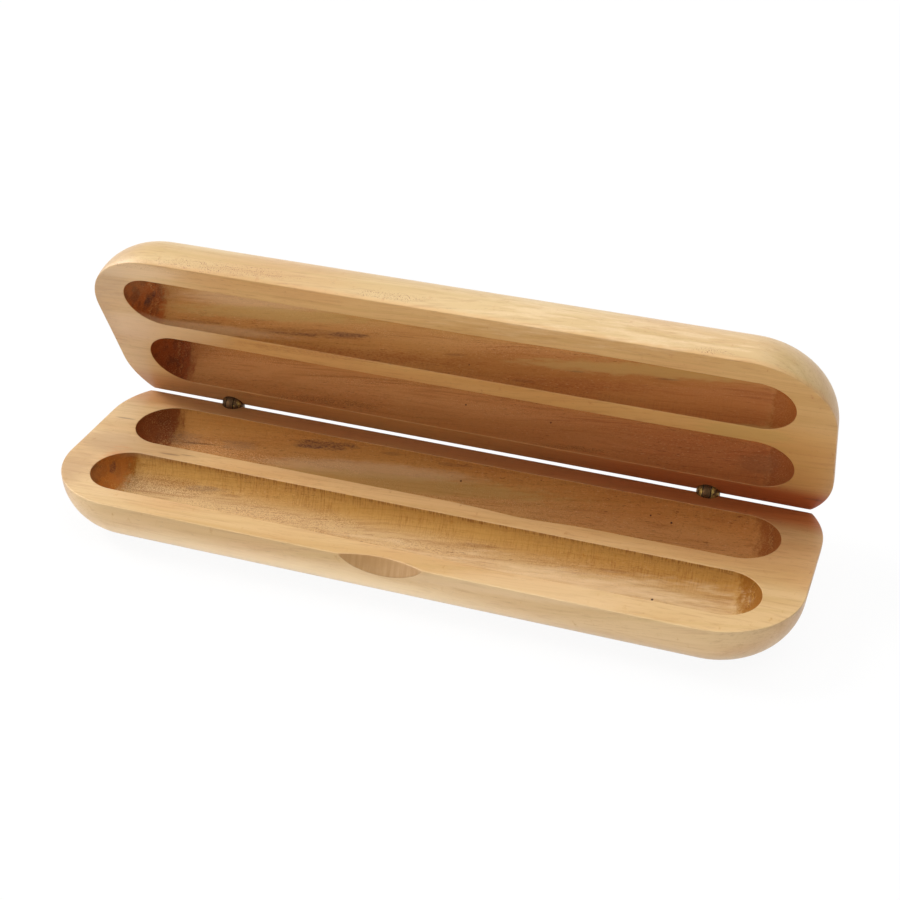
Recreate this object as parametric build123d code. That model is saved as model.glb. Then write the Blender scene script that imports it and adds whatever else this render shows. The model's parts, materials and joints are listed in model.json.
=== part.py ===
from build123d import *
from math import cos, radians, sin, tan
import os

# A wooden pen box for two pens, shown open.
# Two equal blocks of solid hardwood, a base and a lid, each carry two round-bottomed
# pen wells side by side. The outside edges are a full bullnose, the back edges of the
# rims are bevelled, and two small brass barrel hinges join the blocks there.
# The base rests on its flat underside: +X runs along the box, +Y to the hinges, +Z up,
# and the origin is the middle of the underside. All sizes are in millimetres.

# Wells and the wood around them
well_length = 157.6        # each well, from end to end
end_wall = 8.7             # from the end of a well to the end of the block
front_wall = 6.5           # from the front of the block to the front well
front_well_width = 16.3
web = 5.3                  # between the two wells
back_well_width = 17.6
back_wall = 5.5            # from the back well to the back edge of the rim

# Outside of a block
half_height = 14.0         # one block, from its flat outside to its rim
corner_radius = 19.3       # the four corners, seen from above
rim_band = 0.6             # upright band between the rim and the bullnose
rim_setback = 7.5          # from the back edge of the rim to the back of the block
bevel_angle = 45.0         # of the back bevel, measured down from the rim
edge_break = 0.35          # sanded off every edge round the rim

# Thumb notch in the front edge of the base
notch_radius = 28.0
notch_bite = 1.9           # depth of the scoop, measured on the rim
notch_tilt = 21.0          # lean of the scoop away from upright
notch_shift = -1.2         # from the middle of the box

# Barrel hinges
hinge_inset = 27.4         # from the end of the block to the middle of a hinge
hinge_shift = -0.7         # both hinges sit this far off the middle
axis_setback = 0.83        # from the back edge of the rim to the hinge axis
barrel_diameter = 5.5
barrel_length = 7.5        # from the hinge axis to the buried end
barrel_chamfer = 0.4
groove_count = 1           # glue grooves round the buried end
groove_width = 0.6
groove_depth = 0.25
tongue_thickness = 1.7
pin_diameter = 1.2

# Clearances and the pose shown
rim_gap = 0.1              # between the two rims when the box is shut
glue_gap = 0.05            # round a barrel in its hole
hole_relief = 0.3          # past the buried end of a barrel
slit = 0.2                 # on each side of the tongue, in the fork
knuckle_clearance = 0.05   # between a ball end and what turns round it
pin_clearance = 0.03       # round a pin in the tongue
pin_seat_clearance = 0.01  # round a pin in the fork
open_angle = 64.0          # how far the lid stands open

# Sizes that follow from those above
length = well_length + 2 * end_wall
rim_depth = front_wall + front_well_width + web + back_well_width + back_wall
depth = rim_depth + rim_setback
front_y = -depth / 2
rim_back_y = front_y + rim_depth
front_well_y = front_y + front_wall + front_well_width / 2
back_well_y = rim_back_y - back_wall - back_well_width / 2
edge_round = min(half_height - rim_band, corner_radius - 1)
axis_y = rim_back_y + axis_setback
axis_z = half_height + rim_gap / 2
hinge_axis = Axis((0, axis_y, axis_z), (-1, 0, 0))
hinge_places = {
    "left": hinge_shift - length / 2 + hinge_inset,
    "right": hinge_shift + length / 2 - hinge_inset,
}
barrel_radius = barrel_diameter / 2
knuckle_reach = barrel_radius + knuckle_clearance
pin_radius = pin_diameter / 2


def rounded_slab():
    """The block before it is worked: a slab with round corners and a bullnose round its outside."""
    slab = extrude(RectangleRounded(length, depth, corner_radius), half_height)
    outside = slab.faces().sort_by(Axis.Z)[0].edges()
    return fillet(outside, edge_round)


def back_bevel():
    """The wedge planed off the back edge, so that the lid can swing past upright."""
    run = 2 * (rim_setback + half_height)
    drop = run * tan(radians(bevel_angle))
    section = make_face(Polyline(
        (rim_back_y, half_height),
        (rim_back_y + run, half_height - drop),
        (rim_back_y + run, half_height + run),
        (rim_back_y, half_height + run),
        close=True,
    ))
    wedge = extrude(Plane.YZ * section, length, both=True)
    return wedge


def pen_well(width, centre_y):
    """The trough of a round-nosed cutter, sunk by its radius, with ball-shaped ends."""
    radius = width / 2
    run = well_length / 2 - radius
    slant = radius * cos(radians(45))
    outline = [
        Line((-run, radius), (run, radius)),
        ThreePointArc((run, radius), (run + slant, slant), (run + radius, 0)),
        Line((run + radius, 0), (-run - radius, 0)),
        ThreePointArc((-run - radius, 0), (-run - slant, slant), (-run, radius)),
    ]
    trough = revolve(make_face(outline), Axis.X)
    return Pos(0, centre_y, half_height) * trough


def thumb_notch():
    """The shallow scoop that a fingertip finds to lift the lid."""
    tilt = radians(notch_tilt)
    centre_y = front_y + notch_bite - notch_radius * cos(tilt)
    centre_z = half_height + notch_radius * sin(tilt)
    scoop = Cylinder(notch_radius, 4 * half_height, rotation=(-notch_tilt, 0, 0))
    return Pos(notch_shift, centre_y, centre_z) * scoop


def barrel_hole(x):
    """The hole bored for one hinge barrel, square to the rim and open at the bevel."""
    hole_depth = barrel_length + hole_relief
    hole = Cylinder(
        barrel_radius + glue_gap,
        hole_depth + half_height,
        align=(Align.CENTER, Align.CENTER, Align.MIN),
    )
    return Pos(x, axis_y, axis_z - hole_depth) * hole


def worked_block():
    """A slab with its bevel, its two wells and its broken edges, as both halves have them."""
    block = rounded_slab() - back_bevel()
    block -= pen_well(front_well_width, front_well_y)
    block -= pen_well(back_well_width, back_well_y)
    rim = block.faces().filter_by(Axis.Z).sort_by(Axis.Z)[-1]
    return chamfer(rim.edges(), edge_break)


def bored(block):
    """The block with both hinge holes."""
    for x in hinge_places.values():
        block -= barrel_hole(x)
    return block


def base_block():
    return bored(worked_block() - thumb_notch())


def lid_block():
    """The plain twin of the base, turned over onto it, with the box shut."""
    return mirror(bored(worked_block()), about=Plane.XY.offset(axis_z))


def hinge_barrel():
    """A turned brass barrel hanging down from the hinge axis, with a ball end on that axis."""
    radius = barrel_radius
    slant = radius * cos(radians(45))
    tail = -barrel_length
    corner = (radius - barrel_chamfer, tail)
    side = [(radius, 0)]
    first_groove = -(knuckle_reach + barrel_length) / 2 + (groove_count - 1) * groove_width
    pitch = 2 * groove_width
    for count in range(groove_count):
        middle = first_groove - count * pitch
        side.append((radius, middle + groove_width / 2))
        side.append((radius - groove_depth, middle))
        side.append((radius, middle - groove_width / 2))
    side += [(radius, tail + barrel_chamfer), corner]
    outline = [
        ThreePointArc((0, radius), (slant, slant), (radius, 0)),
        Polyline(*side),
        Line(corner, (0, tail)),
        Line((0, tail), (0, radius)),
    ]
    return revolve(Plane.XZ * make_face(outline), Axis.Z)


def pin_bore(clearance):
    """The cross hole for the hinge pin."""
    return Cylinder(pin_radius + clearance, 2 * barrel_diameter, rotation=(0, 90, 0))


def hinge_fork():
    """The base barrel: its ball end is slit for the tongue, which leaves two cheeks."""
    fork_slot = Box(
        tongue_thickness + 2 * slit,
        2 * barrel_diameter,
        2 * knuckle_reach,
    )
    return hinge_barrel() - fork_slot - pin_bore(pin_seat_clearance)


def hinge_tongue():
    """The lid barrel: the sides of its ball end are cut away, which leaves the tongue."""
    barrel = hinge_barrel()
    for side in (-1, 1):
        beside = side * (tongue_thickness / 2 + barrel_diameter / 2)
        barrel -= Pos(beside, 0, 0) * Box(barrel_diameter, 2 * barrel_diameter, 2 * knuckle_reach)
    barrel -= pin_bore(pin_clearance)
    return Rot(180, 0, 0) * barrel


def hinge_pin():
    """The cross pin, with its ends dressed flush with the ball."""
    rod = Cylinder(pin_radius, 2 * barrel_diameter, rotation=(0, 90, 0))
    return rod & Sphere(barrel_radius)


def swung_open(shape):
    """A piece of the lid, turned about the hinge axis from shut to the angle shown."""
    return shape.rotate(hinge_axis, open_angle)


def hinge_pieces():
    """The pieces of both hinges, in place, by node name."""
    pieces = {}
    for side, x in hinge_places.items():
        place = Pos(x, axis_y, axis_z)
        pieces["hinge_fork_" + side] = place * hinge_fork()
        pieces["hinge_tongue_" + side] = swung_open(place * hinge_tongue())
        pieces["hinge_pin_" + side] = place * hinge_pin()
    return pieces


def all_pieces():
    pieces = {
        "base_block": base_block(),
        "lid_block": swung_open(lid_block()),
    }
    pieces.update(hinge_pieces())
    return pieces


os.makedirs("parts", exist_ok=True)
for name, piece in all_pieces().items():
    export_step(piece, "parts/" + name + ".step")
    print(name, round(piece.volume, 1), "mm3")
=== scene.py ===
import json
from math import cos, pi, radians, sin, sqrt, tan

import bmesh
import bpy
import numpy as np
from mathutils import Matrix, Quaternion, Vector
from mathutils.geometry import delaunay_2d_cdt


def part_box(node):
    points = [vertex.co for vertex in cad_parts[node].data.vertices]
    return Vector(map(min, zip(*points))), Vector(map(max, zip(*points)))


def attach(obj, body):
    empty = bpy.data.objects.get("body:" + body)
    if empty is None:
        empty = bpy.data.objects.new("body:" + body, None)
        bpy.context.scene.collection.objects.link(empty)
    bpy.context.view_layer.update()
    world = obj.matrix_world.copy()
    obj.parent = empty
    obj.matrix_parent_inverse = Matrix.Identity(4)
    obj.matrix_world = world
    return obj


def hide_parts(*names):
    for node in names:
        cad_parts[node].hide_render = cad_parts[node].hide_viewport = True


# A pen box of pale hardwood, shown open: two bullnosed blocks with two pen wells each,
# and two small barrel hinges of antique brass.
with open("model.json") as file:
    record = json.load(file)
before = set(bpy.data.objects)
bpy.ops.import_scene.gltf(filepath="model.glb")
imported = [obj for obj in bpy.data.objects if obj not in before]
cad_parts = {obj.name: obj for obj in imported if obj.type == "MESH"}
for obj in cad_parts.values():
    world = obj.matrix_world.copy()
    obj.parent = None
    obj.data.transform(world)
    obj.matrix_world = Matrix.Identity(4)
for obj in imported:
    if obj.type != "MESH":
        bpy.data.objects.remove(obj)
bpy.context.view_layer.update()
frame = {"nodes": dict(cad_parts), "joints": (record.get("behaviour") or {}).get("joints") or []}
mm = 0.001
print("frame loaded:", sorted(frame["nodes"]))


# Camera, as the outlines in the photograph place it

photoCamera = {
    "place": (113.06, -310.64, 225.31),  # mm, in the box's own frame
    "aim": (0.0, 12.66, 18.66),
    "roll": 0.375,                       # degrees
    "focalPixels": 1713.5,               # for a picture 900 pixels wide
    "pictureWidth": 900,
    "sensor": 36.0,
}


def newObject(name, data):
    # An object that shows the data, in the scene.
    thing = bpy.data.objects.new(name, data)
    bpy.context.scene.collection.objects.link(thing)
    return thing


def placeCamera(setup):
    # Looks from place to aim, then turns a little about that line.
    data = bpy.data.cameras.new("photoCamera")
    data.sensor_width = setup["sensor"]
    data.lens = setup["focalPixels"] / setup["pictureWidth"] * setup["sensor"]
    data.clip_start, data.clip_end = 0.01, 20.0
    camera = newObject("photoCamera", data)
    place, aim = Vector(setup["place"]) * mm, Vector(setup["aim"]) * mm
    camera.rotation_mode = "QUATERNION"
    camera.location = place
    turn = Quaternion((0, 0, 1), radians(setup["roll"]))
    camera.rotation_quaternion = (aim - place).to_track_quat("-Z", "Y") @ turn
    bpy.context.scene.camera = camera


placeCamera(photoCamera)
print("camera placed")


# The wooden blocks. Both are worked out as the base lies, in millimetres:
# x along the box, y from the front edge to the hinges, z up from the flat outside.

baseLow, baseHigh = (np.array(corner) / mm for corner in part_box("base_block"))

block = {
    "halfLength": baseHigh[0],
    "frontY": baseLow[1],
    "height": baseHigh[2],
    "depth": -2 * baseLow[1],  # of the slab before its back edge is bevelled
    "cornerRadius": 19.3,
    "rimBand": 0.6,            # upright band under the rim
    "bullnose": 13.4,
    "rimDepth": 51.2,          # from the front edge to the back edge of the rim
    "baseReach": 0.07,         # the rim runs on towards the hinges by this much,
    "lidReach": 0.58,          # and the lid's by this much
    "lidWellShift": 0.2,       # of the lid's wells towards the hinges
    "bevelAngle": 45.0,
    "cornerSoftness": 0.25,    # how far a sanded corner of the rim line is rounded
    "ease": 0.28,              # half the width of a sanded edge
    "easeChange": 0.22,        # share by which the sanding differs along an edge
    "rimMargin": 1.7,          # strip of rim that is meshed with the edge,
    "wellMargin": 1.1,         # and with the edge of a well
    "wellEase": 0.75,          # share of the sanding that a well's edge gets
    "flatStrip": 0.8,          # strip of the flat outside that is meshed with the bullnose
    "sanding": 0.035,          # depth of the slow waves that sanding leaves,
    "fadeTop": 1.5,            # which set in over this much below the rim
    "fadeLow": 2.5,            # and above the flat outside
    "farOut": -9.0,            # inset at which a cut misses the block
}

# Where the outward direction along y counts as the straight front edge, and as the back.
frontFacing, backFacing = -0.99, 0.05

wells = [
    {"centreY": -14.70, "width": 16.3, "length": 157.6, "wander": 0.05},
    {"centreY": 7.55, "width": 17.6, "length": 157.6, "wander": 0.05},
]

# Places where the cutter slipped towards the front and left a well a little wider, in mm: the
# front well's first, then the back well's.
baseSlips = [[{"x": 14.0, "spread": 32.0, "depth": 0.8}], [{"x": 22.0, "spread": 9.0, "depth": 0.95}]]
lidSlips = [[{"x": 36.0, "spread": 22.0, "depth": 0.5}], []]

thumbNotch = {
    "radius": 28.0,
    "bite": 1.9,    # depth of the scoop on the rim
    "tilt": 21.0,   # lean of the scoop away from upright
    "shift": -1.2,  # from the middle of the box
    "tipSoftness": 0.06,
    "reach": 12.0,  # either side of its middle that is meshed finely
}

meshSteps = {
    "straight": 1.3,  # along straight edges
    "notch": 0.55,    # along the thumb notch
    "corner": 0.8,    # round the outside corners
    "wellEnd": 0.55,  # round the end of a well
    "skinRows": 26,
    "wellRows": 26,
    "rimGrid": 2.6,
    "rimGap": 0.45,   # share of the grid that its points stay off an edge
    "weld": 2e-6,     # metres within which points are one
}

# Lengths of the slow waves: in the sanding of the outside's edges and of its skin, in that of the
# wells' edges, and in the way of the cutter.
waveSizes = {"edge": 26.0, "skin": 34.0, "wellEdge": 19.0, "cutter": 17.0}


def spaced(start, stop, step):
    # Evenly spaced values from start up to, but without, stop.
    count = max(2, int(round(abs(stop - start) / step)))
    return start + (stop - start) * np.arange(count) / count


def slowWaves(*coordinates, seed, size):
    # A smooth field from about -1 to 1: six sines of mixed directions and lengths near size.
    random = np.random.default_rng(seed)
    total = np.zeros(np.broadcast(*coordinates).shape)
    for _ in range(6):
        direction = random.normal(size=len(coordinates))
        direction *= random.uniform(0.6, 1.8) * 2 * pi / size / np.linalg.norm(direction)
        phase = random.uniform(0, 2 * pi)
        total = total + np.sin(sum(d * c for d, c in zip(direction, coordinates)) + phase)
    return total / 3.5


def arcPoints(centre, radius, startAngle, stopAngle, step):
    # Points and outward directions on an arc, its end point left out.
    angle = spaced(startAngle, stopAngle, step / radius)
    outward = np.c_[np.cos(angle), np.sin(angle)]
    return np.array(centre) + radius * outward, outward


def linePoints(start, stop, outward, step):
    # Points on a straight edge, its end point left out, all with one outward direction.
    share = spaced(0.0, 1.0, step / np.hypot(*np.subtract(stop, start)))
    points = np.array(start) + share[:, None] * np.subtract(stop, start)
    return points, np.tile(outward, (len(points), 1))


def blockOutline(notch):
    # The rounded rectangle of the slab, seen from above, anticlockwise from the front left.
    radius, frontY = block["cornerRadius"], block["frontY"]
    backY = frontY + block["depth"]
    straightX = block["halfLength"] - radius
    lowY, highY = frontY + radius, backY - radius
    step, cornerStep = meshSteps["straight"], meshSteps["corner"]
    notchX = thumbNotch["shift"] + thumbNotch["reach"] * np.array((-1, 1))
    frontSteps = [step, meshSteps["notch"] if notch else step, step]
    frontStops = [-straightX, notchX[0], notchX[1], straightX]
    parts = [
        linePoints((a, frontY), (b, frontY), (0, -1), s)
        for a, b, s in zip(frontStops, frontStops[1:], frontSteps)
    ]
    parts += [
        arcPoints((straightX, lowY), radius, -pi / 2, 0, cornerStep),
        linePoints((block["halfLength"], lowY), (block["halfLength"], highY), (1, 0), step),
        arcPoints((straightX, highY), radius, 0, pi / 2, cornerStep),
        linePoints((straightX, backY), (-straightX, backY), (0, 1), step),
        arcPoints((-straightX, highY), radius, pi / 2, pi, cornerStep),
        linePoints((-block["halfLength"], highY), (-block["halfLength"], lowY), (-1, 0), step),
        arcPoints((-straightX, lowY), radius, pi, 1.5 * pi, cornerStep),
    ]
    return (np.vstack(column) for column in zip(*parts))


def softPositive(value, softness):
    # Half of the value plus the root of its square and softness squared: a rounded max with 0.
    return 0.5 * (value + np.sqrt(value**2 + softness**2))


def backCut(points, outward, reach):
    # The bevel leaves the rim at its back edge and falls away at its own angle. Seen along the
    # inward direction it starts at inset top and loses slope for each millimetre of height.
    rimBackY = block["frontY"] + block["rimDepth"] + reach
    facing = np.maximum(outward[:, 1], backFacing)
    top = np.where(outward[:, 1] > backFacing, (points[:, 1] - rimBackY) / facing, block["farOut"])
    slope = 1 / (facing * tan(radians(block["bevelAngle"])))
    return softPositive(top, block["cornerSoftness"]), slope


def notchCut(points, outward):
    # A leaning cylinder bites into the front edge: at each x its wall is a straight line that
    # starts at inset top on the rim and comes forward by the tangent of its tilt.
    tilt = radians(thumbNotch["tilt"])
    radius = thumbNotch["radius"]
    across = np.clip((points[:, 0] - thumbNotch["shift"]) / radius, -1, 1)
    sagitta = (radius / cos(tilt)) * (1 - np.sqrt(1 - across**2))
    top = np.where(outward[:, 1] < frontFacing, thumbNotch["bite"] - sagitta, block["farOut"])
    return softPositive(top, thumbNotch["tipSoftness"]), np.full(len(points), tan(tilt))


def skinAt(run):
    # Inset and depth of the outside, by the distance run from the rim line: down the upright
    # band, round the quarter circle of the bullnose, then in along the flat outside.
    band, radius = block["rimBand"], block["bullnose"]
    angle = np.clip((run - band) / radius, 0, pi / 2)
    inset = radius * (1 - np.cos(angle)) + np.maximum(run - band - radius * pi / 2, 0)
    depth = np.clip(run, 0, band) + radius * np.sin(angle)
    return inset, depth


def skinInset(depth):
    # Inset of the outside at a depth below the rim plane.
    radius = block["bullnose"]
    below = np.clip(depth - block["rimBand"], 0, radius)
    return radius - np.sqrt(radius**2 - below**2)


def meetingDepth(top, slope):
    # Depth at which the line of a cut meets the outside, by halving the interval 40 times.
    low, high = np.zeros_like(top), np.full_like(top, block["height"] - 1e-6)
    for _ in range(40):
        middle = 0.5 * (low + high)
        inside = top - slope * middle > skinInset(middle)
        low, high = np.where(inside, middle, low), np.where(inside, high, middle)
    return 0.5 * (low + high)


def easedProfile(profile, along, halfWidth):
    # The mean of the profile over a window of halfWidth either side rounds its corners.
    shares = (np.arange(12) + 0.5) / 6 - 1
    samples = [profile(along + share * halfWidth) for share in shares]
    return (sum(column) / len(shares) for column in zip(*samples))


def rowsAcross(margin, cutLength, ease, restLength, restRows):
    # Distances along a profile, close together in its two eased corners.
    quarter = np.arange(1, 5) / 4
    corner = np.minimum(cutLength / 2, ease)
    columns = [np.zeros_like(ease), (margin - ease) / 2, margin - ease]
    columns += [margin - ease * (1 - share) for share in quarter]
    columns += [margin + corner * share for share in quarter]
    flat = cutLength - 2 * corner
    columns += [margin + corner + flat * share for share in np.arange(1, 7) / 7]
    columns += [margin + cutLength - corner * (1 - share) for share in np.r_[0, quarter]]
    columns += [margin + cutLength + ease * share for share in quarter]
    left = restLength - ease
    columns += [margin + cutLength + ease + left * share
                for share in np.arange(1, restRows + 1) / restRows]
    return np.stack(columns, axis=1)


def sandedEase(points, seed, size, share=1.0):
    # Half the width of a sanded edge at each point: it differs slowly along the edge.
    change = np.clip(slowWaves(points[:, 0], points[:, 1], seed=seed, size=size), -1, 1)
    return share * block["ease"] * (1 + block["easeChange"] * change)


def outsideGrid(notch, seed):
    # From a strip of rim over its edge, down the bevel or notch and round the bullnose to the
    # flat outside: the outline carried inwards by the inset, at the height under the rim.
    points, outward = blockOutline(notch)
    top, slope = backCut(points, outward, block["baseReach" if notch else "lidReach"])
    if notch:
        notchTop, notchSlope = notchCut(points, outward)
        onFront = outward[:, 1] < frontFacing
        top, slope = np.where(onFront, notchTop, top), np.where(onFront, notchSlope, slope)
    meeting = meetingDepth(top, slope)
    cutLength = meeting * np.sqrt(1 + slope**2)
    band, radius = block["rimBand"], block["bullnose"]
    bullnoseShare = np.arcsin(np.clip((meeting - band) / radius, 0, 1))
    meetingRun = np.where(meeting < band, meeting, band + radius * bullnoseShare)
    restLength = band + radius * pi / 2 + block["flatStrip"] - meetingRun
    ease = sandedEase(points, seed, waveSizes["edge"])
    margin = np.full_like(ease, block["rimMargin"])

    def profile(along):
        # Inset and depth: level on the rim, then straight down the cut, then along the skin.
        onRim = along < margin[:, None]
        share = np.clip((along - margin[:, None]) / np.maximum(cutLength, 1e-9)[:, None], 0, 1)
        inset = top[:, None] - share * (meeting * slope)[:, None]
        depth = share * meeting[:, None]
        past = along - (margin + cutLength)[:, None]
        skinIn, skinDepth = skinAt(meetingRun[:, None] + np.maximum(past, 0))
        inset = np.where(past > 0, skinIn, inset)
        depth = np.where(past > 0, skinDepth, depth)
        inset = np.where(onRim, (top + margin)[:, None] - along, inset)
        return inset, np.where(onRim, 0.0, depth)

    along = rowsAcross(margin, cutLength, ease, restLength, meshSteps["skinRows"])
    inset, depth = easedProfile(profile, along, ease[:, None])
    x = points[:, :1] - outward[:, :1] * inset
    y = points[:, 1:] - outward[:, 1:] * inset
    z = block["height"] - depth
    wave = 0.5 + 0.5 * np.clip(slowWaves(x, y, z, seed=seed + 1, size=waveSizes["skin"]), -1, 1)
    fade = np.clip(depth / block["fadeTop"], 0, 1) * np.clip(z / block["fadeLow"], 0, 1)
    inward = block["sanding"] * wave * fade
    return np.stack([x - outward[:, :1] * inward, y - outward[:, 1:] * inward, z], axis=2)


def wellGrid(well, shift, slips, seed):
    # A slot with round ends: from a strip of rim over the edge, then a quarter circle down to
    # the line along the bottom: inset r(1 - cos b), depth r sin b. A slip widens the front side
    # by a bell curve along x.
    radius, half = well["width"] / 2, well["length"] / 2 - well["width"] / 2
    step, endStep = meshSteps["straight"], meshSteps["wellEnd"]
    centreY = well["centreY"] + shift
    parts = [
        linePoints((-half, centreY - radius), (half, centreY - radius), (0, -1), step),
        arcPoints((half, centreY), radius, -pi / 2, pi / 2, endStep),
        linePoints((half, centreY + radius), (-half, centreY + radius), (0, 1), step),
        arcPoints((-half, centreY), radius, pi / 2, 1.5 * pi, endStep),
    ]
    points, outward = (np.vstack(column) for column in zip(*parts))
    bulge = np.zeros(len(points))
    for slip in slips:
        bulge += slip["depth"] * np.exp(-((points[:, 0] - slip["x"]) / slip["spread"]) ** 2)
    bulge = bulge * (outward[:, 1] < frontFacing)
    points = points + outward * bulge[:, None]
    ease = sandedEase(points, seed, waveSizes["wellEdge"], block["wellEase"])
    margin = np.full_like(ease, block["wellMargin"])
    quarter = np.arange(1, 5) / 4
    columns = [np.zeros_like(ease), margin - ease]
    columns += [margin - ease * (1 - share) for share in quarter]
    columns += [margin + ease * share for share in quarter]
    rows = meshSteps["wellRows"]
    left = radius * pi / 2 - ease
    columns += [margin + ease + left * share for share in np.arange(1, rows + 1) / rows]
    along = np.stack(columns, axis=1)

    def profile(run):
        # Inset and depth: level on the rim, then round the quarter circle.
        angle = np.maximum(run - margin[:, None], 0) / radius
        inset = np.where(run < margin[:, None], run - margin[:, None], radius * (1 - np.cos(angle)))
        return inset, radius * np.sin(angle)

    inset, depth = easedProfile(profile, along, ease[:, None])
    inset[:, -1] = radius
    inset = inset * (1 + bulge / radius)[:, None]
    angle = np.clip((along - margin[:, None]) / radius, 0, pi / 2)
    x = points[:, :1] - outward[:, :1] * inset
    y = points[:, 1:] - outward[:, 1:] * inset
    # The cutter wanders a little, always into the wood, and less so near the rim.
    wave = 0.5 + 0.5 * np.clip(slowWaves(x, seed=seed + 1, size=waveSizes["cutter"]), -1, 1)
    deeper = well["wander"] * wave * np.sin(angle)
    z = block["height"] - depth - deeper
    return np.stack([x, y, z], axis=2)


def gridFaces(columns, rows, offset):
    # Quads of a grid that closes on itself round its columns, turned to face up and outwards.
    column, row = np.meshgrid(np.arange(columns), np.arange(rows - 1), indexing="ij")
    following = (column + 1) % columns
    corners = (column * rows + row, column * rows + row + 1,
               following * rows + row + 1, following * rows + row)
    return offset + np.stack(corners, axis=-1).reshape(-1, 4)


def insideLoop(points, loop):
    # Counts the crossings of each point's ray with the loop: odd is inside.
    x, y = points[:, :1], points[:, 1:]
    ax, ay = loop[:, 0], loop[:, 1]
    bx, by = np.roll(ax, -1), np.roll(ay, -1)
    spans = (ay > y) != (by > y)
    with np.errstate(divide="ignore", invalid="ignore"):
        crossing = ax + (y - ay) / (by - ay) * (bx - ax)
    return (spans & (x < crossing)).sum(axis=1) % 2 == 1


def insideRegion(points, loops):
    # Inside the first loop and outside the others.
    inside = insideLoop(points, loops[0])
    for hole in loops[1:]:
        inside &= ~insideLoop(points, hole)
    return inside


def flatFill(loops, height, pitch):
    # A flat face inside the first loop and outside the others, in triangles over the loops' own
    # points and a lattice of points between them.
    low, high = loops[0].min(axis=0), loops[0].max(axis=0)
    lattice = np.stack(np.meshgrid(
        np.arange(low[0], high[0], pitch), np.arange(low[1], high[1], pitch)), axis=-1).reshape(-1, 2)
    keep = insideRegion(lattice, loops)
    edgePoints = np.vstack(loops)
    gap = np.sqrt(((lattice[:, None] - edgePoints[None]) ** 2).sum(axis=2)).min(axis=1)
    lattice = lattice[keep & (gap > meshSteps["rimGap"] * pitch)]
    edges, start = [], 0
    for loop in loops:
        ring = start + np.arange(len(loop))
        edges += list(zip(ring.tolist(), np.roll(ring, -1).tolist()))
        start += len(loop)
    everything = [Vector(point) for point in np.vstack([edgePoints, lattice])]
    found = delaunay_2d_cdt(everything, edges, [], 0, 1e-7)
    corners = np.array([tuple(point) for point in found[0]])
    triangles = np.array(found[2])
    wanted = insideRegion(corners[triangles].mean(axis=1), loops)
    return np.c_[corners, np.full(len(corners), height)], triangles[wanted]


def hingeHoles():
    # The bored holes of both hinges, as closed cylinders standing in the base.
    drills = []
    for x in hinge["places"]:
        angle = np.arange(hinge["drillSides"]) / hinge["drillSides"] * 2 * pi
        ring = np.c_[x + hinge["holeRadius"] * np.cos(angle),
                     hinge["axisY"] + hinge["holeRadius"] * np.sin(angle)]
        count = len(ring)
        floorZ, openZ = hinge["axisZ"] - hinge["holeDepth"], hinge["drillTop"] * block["height"]
        corners = np.vstack([np.c_[ring, np.full(count, floorZ)], np.c_[ring, np.full(count, openZ)]])
        k = np.arange(count)
        following = (k + 1) % count
        sides = np.stack([k, following, following + count, k + count], axis=1).tolist()
        mesh = bpy.data.meshes.new("drill")
        mesh.from_pydata(corners * mm, [], sides + [k[::-1].tolist(), (k + count).tolist()])
        drills.append(newObject("drill", mesh))
    return drills


def appliedModifiers(piece):
    # The mesh that the modifiers give takes the place of the one that they started from.
    graph = bpy.context.evaluated_depsgraph_get()
    finished = bpy.data.meshes.new_from_object(piece.evaluated_get(graph))
    before = piece.data
    piece.modifiers.clear()
    piece.data = finished
    bpy.data.meshes.remove(before)


def blockPiece(name, notch, slips, seed):
    # Puts the outside, the wells and the flat faces together, welds their shared edges and
    # bores the hinge holes.
    outside = outsideGrid(notch, seed)
    shift = 0.0 if notch else block["lidWellShift"]
    wellGrids = [wellGrid(well, shift, slips[k], seed + 10 * (k + 1)) for k, well in enumerate(wells)]
    vertices, faces, start = [], [], 0
    for grid in [outside] + wellGrids:
        columns, rows = grid.shape[:2]
        quads = gridFaces(columns, rows, start)
        faces += (quads if grid is outside else quads[:, ::-1]).tolist()
        vertices.append(grid.reshape(-1, 3))
        start += columns * rows
    rimLoops = [outside[:, 0, :2]] + [grid[:, 0, :2] for grid in wellGrids]
    rim = flatFill(rimLoops, block["height"], meshSteps["rimGrid"])
    underside = flatFill([outside[:, -1, :2]], 0.0, 2 * meshSteps["rimGrid"])
    for corners, triangles in (rim, underside):
        vertices.append(corners)
        faces += (triangles + start).tolist()
        start += len(corners)
    mesh = bpy.data.meshes.new(name)
    mesh.from_pydata(np.vstack(vertices) * mm, [], faces)
    work = bmesh.new()
    work.from_mesh(mesh)
    bmesh.ops.remove_doubles(work, verts=work.verts, dist=meshSteps["weld"])
    bmesh.ops.dissolve_degenerate(work, edges=work.edges, dist=1e-7)
    bmesh.ops.recalc_face_normals(work, faces=work.faces)
    openEdges = sum(not edge.is_manifold for edge in work.edges)
    work.to_mesh(mesh)
    work.free()
    piece = newObject(name, mesh)
    for drill in hingeHoles():
        bore = piece.modifiers.new("bore", "BOOLEAN")
        bore.operation, bore.solver, bore.object = "DIFFERENCE", "EXACT", drill
        appliedModifiers(piece)
        bpy.data.meshes.remove(drill.data)
    print(name, len(piece.data.vertices), "points, open edges before boring:", openEdges)
    return piece


# The barrel hinges, whose axis and holes both blocks share

joint = frame["joints"][0]
forkBoxes = [np.array(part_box("hinge_fork_" + side)) / mm for side in ("left", "right")]

hinge = {
    "axisY": joint["pos_m"][1] / mm,
    "axisZ": joint["pos_m"][2] / mm,
    "places": [ends[:, 0].mean() for ends in forkBoxes],
    "holeRadius": 2.8,
    "holeDepth": 7.8,  # below the hinge axis
    "drillTop": 2.5,   # height of the drill in heights of a block
    "drillSides": 48,
}

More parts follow.
